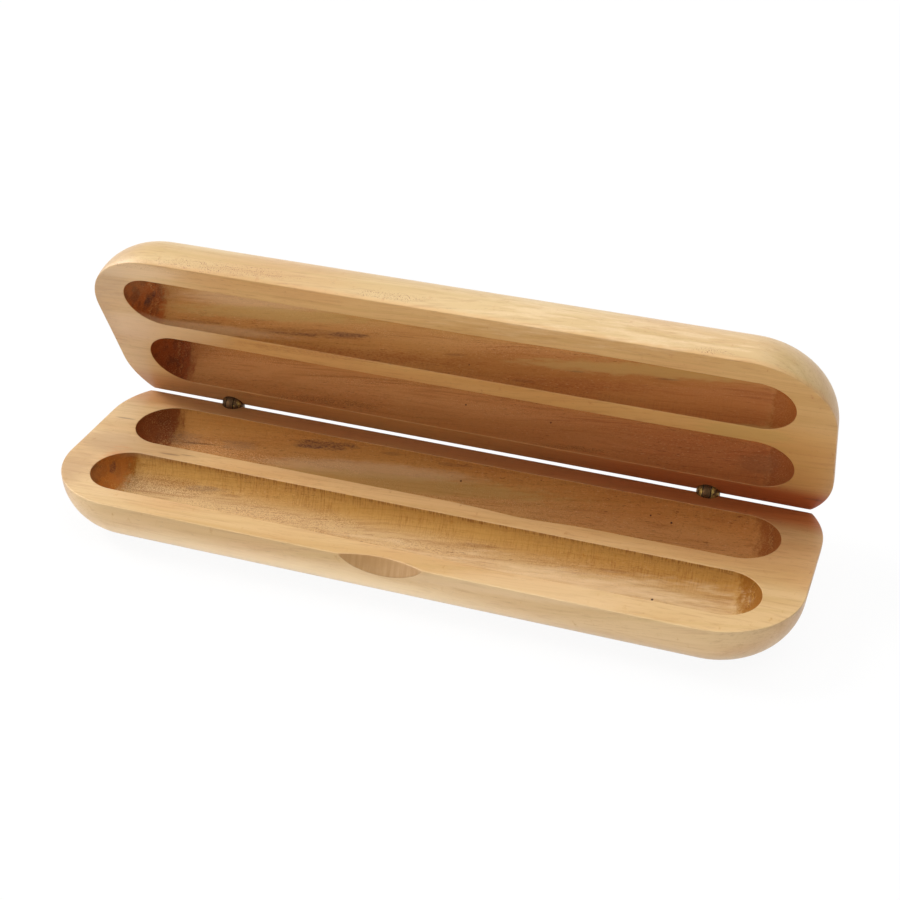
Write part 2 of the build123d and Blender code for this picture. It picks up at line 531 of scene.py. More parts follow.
pivot = Vector(joint["pos_m"])
openAngle = radians(-joint["range_deg"][0])
swing = Matrix.Rotation(openAngle, 4, Vector(joint["axis"]))
openLid = Matrix.Translation(pivot) @ swing @ Matrix.Translation(-pivot)
turnedOver = Matrix.Translation((0, 0, 2 * pivot.z)) @ Matrix.Scale(-1, 4, (0, 0, 1))
lidPlace = openLid @ turnedOver       # from where the base lies to where the open lid stands


pointNotes = {
    "sunk": 0.2,          # mm under the rim at which a well counts in full
    "overhang": 1.1,      # mm outside a well's edge that still count
    "wellLow": 0.25,      # share of the block's height that lies below all wells
    "scoopSkin": 0.07,    # mm off the scoop that still count as on it
    "scoopReach": 11.5,   # mm either side of the notch's middle
    "scoopBackY": -20.0,  # the notch lies in front of this
    "sharpAngle": 38,     # degrees from which an edge stays crisp
}


def wellNotes(local):
    # How far in a well a point is, 0 to 1, and where across the well: from -1 at its front wall
    # to 1 at its back wall.
    inWell, wallSide = np.zeros(len(local)), np.zeros(len(local))
    for well in wells:
        radius = well["width"] / 2
        past = np.maximum(np.abs(local[:, 0]) - (well["length"] / 2 - radius), 0)
        offset = local[:, 1] - well["centreY"]
        inside = radius - np.hypot(past, offset) > -pointNotes["overhang"]
        high = local[:, 2] > pointNotes["wellLow"] * block["height"]
        here = np.clip((block["height"] - local[:, 2]) / pointNotes["sunk"], 0, 1) * inside * high
        inWell = np.maximum(inWell, here)
        wallSide = np.where(here > 0, offset / radius, wallSide)
    return inWell, wallSide


def scoopNote(local):
    # 1 on the scoop of the thumb notch, whose points lie at its radius from its leaning axis.
    tilt, radius = radians(thumbNotch["tilt"]), thumbNotch["radius"]
    axisY = block["frontY"] + thumbNotch["bite"] - radius * cos(tilt)
    axisZ = block["height"] + radius * sin(tilt)
    apart = (local[:, 1] - axisY) * cos(tilt) - (local[:, 2] - axisZ) * sin(tilt)
    sideways = local[:, 0] - thumbNotch["shift"]
    onScoop = np.abs(np.hypot(sideways, apart) - radius) < pointNotes["scoopSkin"]
    near = (np.abs(sideways) < pointNotes["scoopReach"]) & (local[:, 1] < pointNotes["scoopBackY"])
    return 1.0 * (onScoop & near)


def finishBlock(piece, place, body, node, slant):
    # Notes on each point what the wood material reads, moves the mesh to its place, and says
    # which body carries it. endGrain is how far a face looks along the grain. wellEnd is the same
    # in a well alone, plus at its left end and minus at its right, and less by slant times how
    # far the face looks up.
    mesh = piece.data
    count = len(mesh.vertices)
    local, normals = np.zeros(3 * count), np.zeros(3 * count)
    mesh.vertices.foreach_get("co", local)
    mesh.vertices.foreach_get("normal", normals)
    local, normals = local.reshape(-1, 3) / mm, normals.reshape(-1, 3)
    inWell, wallSide = wellNotes(local)
    # Less where a face looks up: the painted shade on the wells' left ends keeps to faces that the left
    # lamp does not reach.
    endward = normals[:, 0] * inWell * (1 - slant * np.clip(normals[:, 2], 0, 1))
    inNotch = scoopNote(local) if node == "base_block" else np.zeros(count)
    values = {"endGrain": np.abs(normals[:, 0]), "wellEnd": endward, "inWell": inWell,
              "wallSide": wallSide, "inNotch": inNotch}
    for label, value in values.items():
        layer = mesh.attributes.new(label, "FLOAT", "POINT")
        layer.data.foreach_set("value", value.astype(np.float32))
    mesh.transform(place)
    if place.determinant() < 0:
        mesh.flip_normals()
    mesh.shade_smooth()
    mesh.set_sharp_from_angle(angle=radians(pointNotes["sharpAngle"]))
    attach(piece, body)
    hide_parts(node)


base = blockPiece("baseBlock", True, baseSlips, seed=3)
finishBlock(base, Matrix.Identity(4), "base", "base_block", slant=0.55)
lid = blockPiece("lidBlock", False, lidSlips, seed=57)
finishBlock(lid, lidPlace, "lid", "lid_block", slant=0.1)
print("blocks made")


# Materials. A small set of helpers keeps each recipe readable.

def tint(red, green, blue):
    # A colour as a picture shows it, 0 to 255, made linear for the shader.
    share = np.array((red, green, blue)) / 255
    linear = np.where(share <= 0.04045, share / 12.92, ((share + 0.055) / 1.055) ** 2.4)
    return (*linear.tolist(), 1.0)


def addNode(tree, kind, inputs=None, **settings):
    # A node with its settings, and its inputs set or linked by name or number.
    node = tree.nodes.new("ShaderNode" + kind)
    for label, value in settings.items():
        setattr(node, label, value)
    for label, value in (inputs or {}).items():
        if isinstance(value, bpy.types.NodeSocket):
            tree.links.new(value, node.inputs[label])
        else:
            node.inputs[label].default_value = value
    return node


def emptyTree(owner):
    # The node tree of a new material or world, without what it starts with.
    owner.use_nodes = True
    owner.node_tree.nodes.clear()
    return owner.node_tree


def putOut(tree, shader, kind="OutputMaterial"):
    # Links the shader to the output of its tree.
    tree.links.new(shader.outputs[0], addNode(tree, kind).inputs["Surface"])


def mixedShaders(tree, share, first, second):
    # The second shader by its share and the first by the rest.
    return addNode(tree, "MixShader", {0: share, 1: first.outputs[0], 2: second.outputs[0]})


def calculate(tree, operation, *values):
    # One arithmetic step on numbers or sockets.
    return addNode(tree, "Math", dict(enumerate(values)), operation=operation).outputs[0]


def vectorStep(tree, operation, *values):
    # One arithmetic step on vectors, whose length is a number.
    step = addNode(tree, "VectorMath", dict(enumerate(values)), operation=operation)
    return step.outputs["Value" if operation == "LENGTH" else 0]


def product(tree, *factors):
    # All factors multiplied, one after another.
    total = factors[0]
    for factor in factors[1:]:
        total = calculate(tree, "MULTIPLY", total, factor)
    return total


def remap(tree, value, fromLow, fromHigh, toLow=0.0, toHigh=1.0):
    # Smoothly carries one range over to another, and stays within it.
    inputs = {"Value": value, "From Min": fromLow, "From Max": fromHigh,
              "To Min": toLow, "To Max": toHigh}
    return addNode(tree, "MapRange", inputs, interpolation_type="SMOOTHSTEP").outputs[0]


def blended(tree, share, first, second, how="MIX"):
    # Two colours mixed by a share.
    mix = addNode(tree, "Mix", {0: share, 6: first, 7: second}, data_type="RGBA", blend_type=how)
    return mix.outputs[2]


def stretched(tree, vector, scale, shift=(0, 0, 0)):
    # The same coordinates on another scale along each axis.
    return addNode(tree, "Mapping", {"Vector": vector, "Scale": scale, "Location": shift}).outputs[0]


def speckle(tree, vector, detail=2.0, roughness=0.5):
    # Soft noise at one unit of its coordinates.
    inputs = {"Vector": vector, "Scale": 1.0, "Detail": detail, "Roughness": roughness}
    return addNode(tree, "TexNoise", inputs).outputs["Fac"]


def attribute(tree, label):
    # One of the notes that finishBlock leaves on each point.
    return addNode(tree, "Attribute", attribute_name=label).outputs["Fac"]


def intoBlock(place):
    # Mapping settings that carry a point of the standing piece back to where the base lies, in mm:
    # the inverse of its place, taken apart into scale, turn and shift.
    back, side = place.inverted(), 1 if place.determinant() > 0 else -1
    turn = (back.to_3x3() @ Matrix.Diagonal((1, 1, side))).to_euler()
    return {"Scale": (1 / mm, 1 / mm, side / mm), "Rotation": turn, "Location": back.translation / mm}


woodLook = {
    "pale": tint(213, 180, 130),
    "middle": tint(202, 166, 113),
    "warm": tint(203, 156, 107),
    "olive": tint(191, 157, 98),
    "line": tint(160, 108, 66),
    "pore": tint(104, 62, 38),
    # painted shade: darker, more saturated upper back walls of the wells
    "paintedWallShade": (0.89, 0.73, 0.38, 1.0),
    # endDark and endWarm colour the left ends of the wells: end grain under painted shade. endDark also
    # darkens the burrs and paints the shadow beside each ridge.
    "endDark": tint(106, 50, 20),
    "endWarm": tint(170, 94, 34),
    "endRight": tint(152, 90, 28),
    "endOuter": tint(190, 134, 78),
    "notch": tint(167, 124, 72),
    "chatter": tint(140, 84, 34),
    "torn": tint(128, 76, 32),
    "tornPale": tint(226, 190, 134),
    # painted highlight: the pale colour of the cutter's ridges
    "ridge": tint(214, 166, 100),
    "roughness": 0.45,
    "wellRoughness": 0.7,
    "specular": 0.25,
    "coatRoughness": 0.38,
}


def markLook(colour, strength, ragged, grainy, wispy=0.0, grains=(0.42, 0.62)):
    # A kind of mark: its colour and strength, how ragged its border is, how grainy and how wispy
    # its inside is, and the range of the noise that makes its grains.
    return {"colour": tint(*colour), "strength": strength, "ragged": ragged, "grainy": grainy,
            "wispy": wispy, "grains": grains}


markLooks = {
    "mineral": markLook((84, 50, 42), 0.78, 1.5, 0.6),
    "shade": markLook((134, 84, 46), 0.45, 1.3, 0.3),
    "line": markLook((92, 60, 36), 0.5, 0.7, 0.1),
    "ember": markLook((196, 116, 44), 0.6, 1.2, 0.3),
    "grey": markLook((138, 112, 88), 0.42, 1.6, 0.55),
    "olive": markLook((192, 156, 90), 0.65, 1.2, 0.1),
    "dust": markLook((228, 200, 158), 0.5, 1.2, 0.3, wispy=1),
    "torn": markLook((134, 86, 40), 0.6, 1.4, 1),
    "fleck": markLook((142, 88, 50), 0.9, 1.7, 1, grains=(0.55, 0.66)),
    "ochre": markLook((168, 108, 46), 0.6, 1, 0.1),
    # painted shade for the left ends of the outside and the left of the web
    "dusk": markLook((166, 128, 88), 0.52, 0.6, 0),
    "rust": markLook((158, 88, 40), 0.5, 1.3, 0.7),
    # painted light: the floor's bounce light, pale low on the base's front
    "sapwood": markLook((250, 222, 176), 0.8, 0.2, 0),
    # painted light: paler patches where more light falls
    "pale": markLook((228, 197, 154), 0.42, 0.5, 0),
    "hole": markLook((58, 32, 22), 0.95, 0, 0),
}


def onWall(well, x, degrees):
    # A point of a well's wall, by how far round from its back edge it lies: as far from the
    # well's middle line as its radius, or less in its ball ends.
    radius, angle = wells[well]["width"] / 2, radians(degrees)
    past = max(0.0, abs(x) - wells[well]["length"] / 2 + radius)
    radius = sqrt(max(0.0, radius ** 2 - past ** 2))
    return (x, wells[well]["centreY"] + radius * cos(angle), block["height"] - radius * sin(angle))


# The marks, each in the frame in which the base lies: on a wall by its kind, the well, x, the
# degrees round from its back edge and its half sizes, and elsewhere by its middle and half sizes.
# These are in mm along the grain, across it and, where that differs, in height.
front, back = 0, 1
baseMarks = [
    # painted bounce light low on the front of the base
    ("sapwood", (-62, -31, -2), (100, 9, 10)),
    # painted light towards the right of the front rim
    ("pale", (34, -28.6, 14), (52, 6, 1.8)),
    ("pale", front, 24, 84, 40, 3),
    # painted shade on the left of the web and at the left end of the outside
    ("dusk", (-74, -4, 14), (26, 6, 1.6)),
    ("dusk", (-85, -19, 11.5), (8, 12, 4)),
    ("pale", back, -22, 45, 28, 2.2),
    ("torn", front, -64, 48, 13, 2.6),
    ("grey", front, -54, 40, 5, 0.8),
    ("shade", front, -46.5, 42, 3, 0.35),
    ("shade", front, 14, 42, 5, 0.5),
    ("shade", front, 46, 38, 4, 0.4),
    ("ember", front, -76.5, 45, 3.6, 6),
    ("mineral", front, -76.8, 34, 0.6, 1.4),
    ("dust", front, 40, 66, 44, 3),
    ("dust", front, -10, 74, 40, 2.4),
    ("dust", front, 60, 76, 12, 2.6),
    ("hole", front, 55.2, 71, 0.3, 0.3),
    ("mineral", back, -33.5, 17, 8.5, 1.25),
    ("mineral", back, -37.5, 25, 4, 0.5),
    ("shade", back, -16, 11, 3, 0.5),
    ("shade", back, 0, 10, 5, 0.5),
    ("grey", back, -55, 44, 5.5, 1.3),
    ("grey", back, -70, 52, 4.5, 2),
    ("line", back, -66, 54, 6, 0.25),
    ("olive", back, -20, 62, 48, 2.4),
    ("hole", back, 53, 35, 0.27, 0.27),
    ("hole", back, 2, 33, 0.25, 0.25),
    ("hole", back, 48, 30, 0.22, 0.22),
    ("line", (-82.5, 7, 14), (2.6, 0.3, 1)),
    ("line", (-64.5, -4.6, 14), (2.6, 0.35, 1)),
    ("line", (-60, -3.6, 14), (2, 0.2, 1)),
]
lidMarks = [
    ("pale", front, -46, 76, 24, 3.4),
    # painted light on the left of the lid's rim
    ("pale", (-74, -3.9, 14), (34, 6, 1.6)),
    ("olive", (68, -3.9, 14), (20, 3, 0.9)),
    # painted shade at the lid's left end
    ("dusk", (-83, -23, 9), (12, 13, 8)),
    ("dusk", (-90, -6, 8), (8, 18, 8)),
    ("ochre", front, 30, 44, 44, 3),
    # painted light on the left of the lid's rim
    ("pale", (-76, -26, 14), (22, 3.4, 1.5)),
    ("dust", (44, -29, 9), (50, 4, 6)),
    ("mineral", front, -35.5, 25, 4.6, 0.45),
    ("mineral", front, -25.5, 36, 6, 0.6),
    ("mineral", front, -41.5, 22, 3, 0.25),
    ("shade", front, -34, 29, 17, 1.1),
    ("shade", front, -60, 18, 11, 0.4),
    ("torn", front, -62.5, 30, 1, 0.5),
    ("rust", front, -18, 9, 54, 1.6),
    ("rust", front, 32, 22, 22, 1.4),
    ("line", front, 29.2, 40, 2.1, 0.28),
    ("line", front, 49, 51, 3.4, 0.26),
    ("line", front, 36.5, 24, 1.8, 0.22),
    ("shade", front, 18, 11, 3, 0.4),
    ("shade", front, 1, 34, 2.5, 0.35),
    ("olive", front, -44, 50, 28, 1.8),
    ("olive", front, 44, 60, 30, 1.6),
    ("hole", front, 4.5, 22, 0.26, 0.26),
    ("mineral", front, -76, 34, 0.7, 0.9, 1.6),
    ("mineral", front, -75, 52, 0.5, 0.7),
    ("torn", back, -34, 10, 36, 1),
    ("torn", back, 30, 8, 16, 0.7),
    ("shade", back, 70, 34, 5, 2.6),
    ("hole", back, 20.9, 39, 0.28, 0.28),
    ("hole", back, -0.2, 43, 0.28, 0.28),
    ("line", (83.5, 17.8, 14), (2.4, 0.35, 1)),
    ("fleck", (-50, -29.3, 11.6), (32, 1.8, 2)),
    ("fleck", (-10, -29.3, 11.6), (9, 1.8, 1.4)),
    ("fleck", (61, -29.3, 12.6), (5, 1.4, 0.9)),
]

# How each block was cut from the tree: the slope of the grain, its turn in radians and shift in
# mm about the pith, and the x of the ridges that the cutter left. Pairs hold one value for the
# front well and one for the back; floors, ends, paintedSheen, paintedWebShade, stain and
# paintedHingeShade multiply the colour, and hingeShadeFrom is the share of the last at the left.
# The floor colours are partly painted shade, most in the back wells. paintedSheen is painted light
# that makes the outside below the rim paler. paintedWebShade is painted shade on the web between
# the wells, and paintedHingeShade a red-brown painted shade on the back walls of the wells and on
# the back strip of the rim, towards the hinges, where the lid overhangs.
blockGrain = {
    "base": {
        "lean": 0.075, "turn": 0.35, "shift": (11, 46, 71), "ridges": (75.7, 76.4),
        "chatters": (0.5, 0.12), "walls": (1, 0.6), "warmEnds": (1, 0.3), "fuzz": 1,
        "floors": ((0.94, 0.94, 0.92, 1), (1, 0.88, 0.64, 1)),
        "ends": ((0.86, 0.84, 0.40, 1), (0.92, 0.75, 0.66, 1)),
        "paintedSheen": (1.05, 1.04, 1.04, 1), "paintedWebShade": (0.95, 0.88, 0.81, 1),
        "stain": (1, 1, 1, 1), "paintedHingeShade": (0.84, 0.44, 0.28, 1),
        "hingeShadeFrom": 0.46, "hingeShadeWells": (0.1, 0.5),
    },
    "lid": {
        "lean": -0.07, "turn": -0.5, "shift": (83, -39, 58), "ridges": (-75.2, -74.1),
        "chatters": (0.1, 0.05), "walls": (0.45, 0.1), "warmEnds": (1, 0.8), "fuzz": 0.5,
        "floors": ((1, 0.92, 0.75, 1), (1.01, 0.82, 0.63, 1)),
        "ends": ((0.98, 0.85, 0.78, 1), (0.94, 0.80, 0.88, 1)),
        "paintedSheen": (0.96, 1.08, 1.22, 1), "paintedWebShade": (1, 0.93, 0.80, 1),
        "stain": (0.98, 0.89, 0.75, 1), "paintedHingeShade": (0.64, 0.27, 0.18, 1),
        "hingeShadeFrom": 0.36, "hingeShadeWells": (0.68, 0.66),
    },
}


def placedMark(lean, *row):
    # The middle of a mark, once the slope of the grain against the box is taken out, and its
    # three half sizes.
    if len(row) == 2:
        middle, halves = row
    else:
        middle, halves = onWall(*row[:3]), row[3:]
    x, y, z = middle
    return (x, y - lean * x, z - lean * x), (*halves, halves[-1])[:3]


# Noises in the wood: the coordinates that each lies on, its cycles per mm along them, its detail
# and roughness, and a shift of its own where two would else be alike.
woodNoises = {
    "bands": ("grown", (0.007, 0.16, 0.16), 2, 0.5),
    "fibres": ("grown", (0.05, 1.9, 1.9), 4, 0.6),
    "poreNoise": ("grown", (0.5, 5.2, 5.2), 2, 0.5, (3.1, 7.7, 1.3)),
    "patches": ("turned", (0.02, 0.06, 0.06), 2, 0.5),
    "granules": ("turned", (1.3, 4.2, 4.2), 4, 0.7),
    "edges": ("turned", (0.28, 1.3, 1.3), 3, 0.5, (5, 2, 9)),
    "wisps": ("along", (0.07, 0.75, 0.75), 4, 0.6),
    "clouds": ("local", (0.7, 0.35, 0.35), 4, 0.65),
    "chatterNoise": ("local", (3.4, 0.35, 0.35), 3, 0.7),
    "chatterZone": ("local", (0.06, 0.3, 0.3), 2, 0.5),
    "fuzz": ("local", (4, 4, 4), 2, 0.6),
    "ribs": ("local", (1.1, 0.1, 0.1), 3, 0.6),
}

# Shares: what each is read from (a noise, a note on the points or a coordinate in mm), where that
# starts and stops to count, and what it gives there, 0 and 1 if nothing is said.
woodShares = {
    "band": ("bands", 0.36, 0.66),
    "warmPatch": ("patches", 0.46, 0.7, 0, 0.5),
    "ring": ("rings", 0.5, 0.72, 0, 0.35),
    "fibre": ("fibres", 0.48, 0.72),
    "fibreInWell": ("inWell", 0, 1, 0.3, 0.52),
    "fibreUpWall": ("wallSide", 0.6, 0.95, 1, 0.5),
    "pore": ("poreNoise", 0.64, 0.72),
    "porePatch": ("patches", 0.36, 0.6, 0.3, 1),
    "poreInWell": ("inWell", 0, 1, 0.3, 0.6),
    "backWell": ("y", -5, -2.5),
    "upWall": ("wallSide", 0.5, 0.95),
    "nearRim": ("z", 12.4, 13.9),
    "belowRim": ("z", 13.9, 12.4),
    "mottle": ("granules", 0.3, 0.7, 0.75, 1),
    "outerEnd": ("endGrain", 0.5, 1, 0, 0.4),
    "leftEnd": ("leftward", 0.06, 0.34, 0, 0.95),
    "rightEnd": ("rightward", 0.1, 0.38, 0, 0.92),
    "warmCloud": ("clouds", 0.38, 0.54, 0.2, 1),
    "webSide": ("y", -12, -5),
    "webRight": ("x", -66, -46),
    # the back side of a well's wall and the back strip of the rim: where the painted shade towards the
    # hinges lies
    "hingeShadeWall": ("wallSide", 0.05, 0.6),
    "hingeShadeRim": ("y", 12.5, 18.2),
    "chatterLine": ("chatterNoise", 0.44, 0.66),
    "chatterPatch": ("chatterZone", 0.35, 0.65, 0.3, 1),
    "burrEdge": ("wallSide", 0.99, 0.9995),
    "burr": ("chatterNoise", 0.45, 0.58, 0, 0.8),
    "tornPatch": ("patches", 0.38, 0.62, 0.25, 1),
    "tornDark": ("granules", 0.54, 0.68, 0, 0.55),
    "tornPale": ("granules", 0.42, 0.30, 0, 0.45),
    "fuzzTop": ("wallSide", 0.95, 0.65),
    "fuzzLow": ("wallSide", -0.2, 0.3),
    "fuzzPatch": ("chatterZone", 0.4, 0.58, 0.25, 1),
    "fuzzDark": ("fuzz", 0.53, 0.66, 0, 0.5),
    "fuzzPale": ("fuzz", 0.46, 0.33, 0, 0.6),
    "ridgePatch": ("clouds", 0.42, 0.6),
    "ribbed": ("ribs", 0.3, 0.7, 0.7, 1),
    "polish": ("fibres", 0.3, 0.7, -0.05, 0.07),
    "coat": ("inWell", 0, 1, 0.55, 0),
}

# Places in the wood: the product of the shares named.
woodPlaces = {
    "wall": ("inWell", "upWall"),
    "rimFace": ("notWell", "nearRim"),
    "pores": ("pore", "porePatch"),
    # where the red-brown painted shade towards the hinges lies
    "hingeShadeOnWalls": ("inWell", "hingeShadeWall", "hingeShadeWells", "notEnd"),
    "hingeShadeOnRim": ("rimFace", "hingeShadeRim"),
    "chatter": ("wall", "chatterLine", "chatterPatch", "chatters"),
    "torn": ("inWell", "tornPatch"),
    "lifted": ("inWell", "fuzzTop", "fuzzLow", "fuzzAlong", "fuzzPatch"),
    "broken": ("inWell", "ridgePatch"),
}

# The colour, layer on layer: the shade, how it is laid on, and the product that says where.
# First come growth, fibres and pores. Then cut wood drinks in the finish: deeper in the wells,
# with painted shade in their floors, most in the back well, and on their upper back walls, and
# deepest where the cut crosses the grain, the left ends also with painted shade. Then painted
# light pales the outside below the rim, and painted shade darkens the web between the wells and,
# in red-brown, the parts towards the hinges. Then the cutter's chatter with burrs at the wells'
# edges, grains of torn and of lifted fibres, and the ridges that the cutter left, each with a
# painted highlight and a painted shadow beside it.
woodLayers = [
    ("middle", "MIX", "band"),
    ("warm", "MIX", "warmPatch"),
    ("olive", "MIX", "ring"),
    ("line", "MIX", "fibre", "fibreInWell", "fibreUpWall"),
    ("pore", "MIX", "pores", "poreInWell"),
    # the wells' own darker colour, with painted shade in the floors, most in the back well
    ("floor", "MULTIPLY", "inWell"),
    # painted shade on the upper back walls of the wells
    ("paintedWallShade", "MULTIPLY", "wall", "walls"),
    ("endOuter", "MIX", "outerEnd", "mottle"),
    # the left ends: end grain and painted shade
    ("leftEndGrainAndShade", "MIX", "leftEnd", "mottle"),
    ("endRight", "MIX", "rightEnd", "mottle"),
    ("stain", "MULTIPLY", "all"),
    # painted light: the outside below the rim paler, standing for sheen and the floor's bounce light
    ("paintedSheen", "MULTIPLY", "notWell", "belowRim"),
    # painted shade on the web between the wells
    ("paintedWebShade", "MULTIPLY", "rimFace", "webSide", "webRight"),
    # red-brown painted shade towards the hinges, stronger to the right
    ("paintedHingeShade", "MULTIPLY", "hingeShade", "hingeShadeAlong"),
    ("chatter", "MIX", "chatter"),
    ("endDark", "MIX", "wall", "burrEdge", "burr", "chatters"),
    ("torn", "MIX", "torn", "tornDark"),
    ("tornPale", "MIX", "torn", "tornPale"),
    ("torn", "MIX", "lifted", "fuzzDark"),
    ("tornPale", "MIX", "lifted", "fuzzPale"),
    # painted shadow beside each ridge, then the ridge itself paler, a painted highlight
    ("endDark", "MIX", "ridgeShadows", "ridgeShare"),
    ("ridge", "MIX", "ridges", "ridgeShare"),
    ("endTint", "MULTIPLY", "ends"),
]

woodShape = {
    "bendScale": (0.010, 0.04, 0.04),
    "bend": (0, 11, 11),  # mm by which the layers of growth bend
    "rings": 0.7,               # of them per mm from the pith
    "fray": 0.7,                # of the borders of the stained ends
    "wobble": 5,              # mm by which a ridge strays
    "ridge": (0.2, 0.03),       # mm from its line at which it starts and is full
    "ridgeShadow": (0.22, 0.05),     # and the same for the painted shadow beside it,
    "ridgeShadowAt": 0.25,           # which lies this much to the side
    "ridgeShare": 0.6,
    "fibres": 0.35,             # heights in the finest relief
    "pores": 0.5,
    "chatter": 1.6,
    "depth": 0.06,              # mm, of a height of 1 in it
}


def woodCoordinates(tree, place, grain):
    # Local is the block as the base lies, in mm. Along takes out the lean of the grain, turned
    # lies about a far pith, and grown is that bent slowly by a noise less its mean of a half.
    here = addNode(tree, "TexCoord").outputs["Object"]
    local = addNode(tree, "Mapping", {"Vector": here, **intoBlock(place)}).outputs[0]
    x, y, z = addNode(tree, "SeparateXYZ", {0: local}).outputs
    lean = calculate(tree, "MULTIPLY", x, grain["lean"])
    across, up = calculate(tree, "SUBTRACT", y, lean), calculate(tree, "SUBTRACT", z, lean)
    along = addNode(tree, "CombineXYZ", {0: x, 1: across, 2: up}).outputs[0]
    turned = addNode(tree, "Mapping", {"Vector": along, "Rotation": (grain["turn"], 0, 0),
                                       "Location": grain["shift"]}).outputs[0]
    bend = addNode(tree, "TexNoise", {
        "Vector": stretched(tree, turned, woodShape["bendScale"]), "Scale": 1.0, "Detail": 2.0})
    centred = vectorStep(tree, "SUBTRACT", bend.outputs["Color"], (0.5, 0.5, 0.5))
    grown = vectorStep(tree, "MULTIPLY_ADD", centred, woodShape["bend"], turned)
    return {"local": local, "x": x, "y": y, "z": z, "along": along, "turned": turned, "grown": grown}


def cutterRidges(tree, field, places):
    # How near a point is to a line across the well that a noise makes wobble, and how near to the
    # painted shadow that lies beside it.
    ridges, ridgeShadows, wobbleBy = 0.0, 0.0, woodShape["wobble"]
    for place in places:
        vector = stretched(tree, field["local"], (0.0, 0.55, 0.55), (0, place, 0))
        wobble = speckle(tree, vector, detail=4.0, roughness=0.75)
        wobbled = calculate(tree, "MULTIPLY_ADD", wobble, wobbleBy, field["x"])
        apart = calculate(tree, "SUBTRACT", wobbled, place + wobbleBy / 2)
        onRidge = remap(tree, calculate(tree, "ABSOLUTE", apart), *woodShape["ridge"])
        ridges = calculate(tree, "MAXIMUM", onRidge, ridges)
        beside = calculate(tree, "SUBTRACT", apart, woodShape["ridgeShadowAt"])
        inRidgeShadow = remap(tree, calculate(tree, "ABSOLUTE", beside), *woodShape["ridgeShadow"])
        ridgeShadows = calculate(tree, "MAXIMUM", inRidgeShadow, ridgeShadows)
    return product(tree, ridges, field["broken"]), product(tree, ridgeShadows, field["broken"])


def woodFields(tree, place, grain):
    # Everything that the layers, the marks and the relief read, by name.
    field = woodCoordinates(tree, place, grain)
    field.update({"all": 1.0, "ridgeShare": woodShape["ridgeShare"]})
    for label in ("inWell", "wallSide", "endGrain", "wellEnd", "inNotch"):
        field[label] = attribute(tree, label)
    for name, (on, scale, detail, roughness, *shift) in woodNoises.items():
        field[name] = speckle(tree, stretched(tree, field[on], scale, *shift), detail, roughness)
    fromPith = vectorStep(tree, "LENGTH", stretched(tree, field["grown"], (0.0, 1.0, 1.0)))
    field["rings"] = addNode(tree, "TexNoise", {
        "W": calculate(tree, "MULTIPLY", fromPith, woodShape["rings"]), "Scale": 1.0,
        "Detail": 3.0, "Roughness": 0.6}, noise_dimensions="1D").outputs["Fac"]
    fray = woodShape["fray"]
    frayed = calculate(tree, "MULTIPLY_ADD", field["clouds"], fray, -fray / 2)
    field["leftward"] = calculate(tree, "ADD", field["wellEnd"], frayed)
    field["rightward"] = calculate(tree, "SUBTRACT", frayed, field["wellEnd"])
    ownShares = {name: ("backWell", 0.0, 1.0, *grain[name])
                 for name in ("walls", "chatters", "hingeShadeWells", "warmEnds")}
    ownShares["hingeShadeAlong"] = ("x", -20.0, 80.0, grain["hingeShadeFrom"], 1.0)
    ownShares["fuzzAlong"] = ("x", 60.0, -20.0, 0.15, grain["fuzz"])
    for name, (source, *stops) in {**woodShares, **ownShares}.items():
        field[name] = remap(tree, field[source], *stops)
    field["ends"] = calculate(tree, "MAXIMUM", field["leftEnd"], field["rightEnd"])
    field["notWell"] = calculate(tree, "SUBTRACT", 1.0, field["inWell"])
    field["notEnd"] = calculate(tree, "SUBTRACT", 1.0, field["ends"])
    for name, factors in woodPlaces.items():
        field[name] = product(tree, *(field[factor] for factor in factors))
    field["hingeShade"] = calculate(tree, "MAXIMUM", field["hingeShadeOnWalls"], field["hingeShadeOnRim"])
    field["ridges"], field["ridgeShadows"] = cutterRidges(tree, field, grain["ridges"])
    field["border"] = calculate(tree, "SUBTRACT", field["edges"], 0.5)
    return field


def markShare(tree, field, grains, middle, halves, look):
    # How far inside an ellipsoid along the grain a point lies, with a border that noise moves
    # and, inside, noise that breaks the colour into grains or wisps.
    shifted = vectorStep(tree, "SUBTRACT", field["along"], middle)
    scaled = vectorStep(tree, "MULTIPLY", shifted, [1 / half for half in halves])
    away = vectorStep(tree, "LENGTH", scaled)
    moved = calculate(tree, "MULTIPLY_ADD", field["border"], look["ragged"], away)
    share = remap(tree, moved, 1.25, 0.55, 0.0, look["strength"])
    share = product(tree, share, remap(tree, grains, *look["grains"], 1.0 - look["grainy"], 1.0))
    if look["wispy"]:
        wisps = remap(tree, field["wisps"], *look["grains"], 1.0 - look["wispy"], 1.0)
        share = product(tree, share, wisps)
    return share


def woodRelief(tree, field):
    # The finest relief: fibres and ridges stand up; pores, chatter and torn grain lie low.
    height = calculate(tree, "MULTIPLY", field["fibres"], woodShape["fibres"])
    for hollow, deep in ((field["pores"], woodShape["pores"]), (field["chatter"], woodShape["chatter"]),
                         (field["torn"], field["granules"]), (field["lifted"], field["fuzz"])):
        height = calculate(tree, "SUBTRACT", height, product(tree, hollow, deep))
    height = calculate(tree, "ADD", height, field["ridges"])
    inputs = {"Height": height, "Strength": 0.55, "Distance": woodShape["depth"] * mm}
    return addNode(tree, "Bump", inputs).outputs[0]


